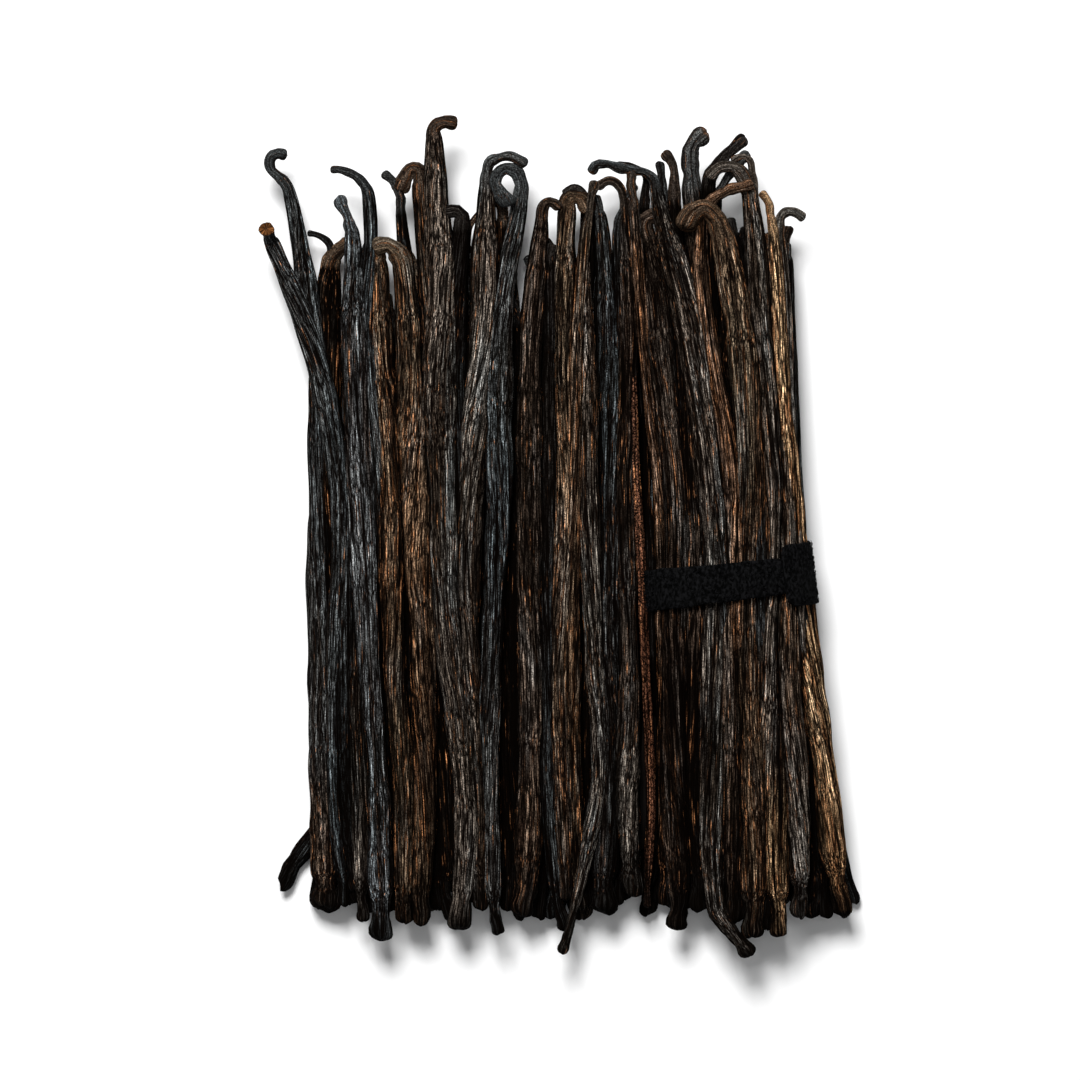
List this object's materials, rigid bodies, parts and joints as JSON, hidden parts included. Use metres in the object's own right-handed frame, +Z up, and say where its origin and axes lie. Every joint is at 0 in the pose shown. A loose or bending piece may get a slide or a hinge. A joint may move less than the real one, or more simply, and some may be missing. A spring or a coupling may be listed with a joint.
{
  "type": "bundle of vanilla pods",
  "caption": "Bundle of dark cured vanilla pods lying flat, hooked stem ends at one end, some of them gathered in a black hook-and-loop strap.",
  "frame": {"origin": "centre of the overall box in X and Y, at the surface that the bundle lies on", "axes": "+Z up from that surface, +Y along the pods towards their hooked stem ends, +X across the bundle towards the strapped pods"},
  "size_m": [0.1498, 0.21, 0.0244],
  "materials": {
    "pods": "dark brown to black cured pods with lengthwise wrinkles, oily satin sheen",
    "strap": "black brushed loop fabric, matt"
  },
  "bodies": {
    "root": {"pods": "pods", "strap": "strap"}
  },
  "joints": []
}
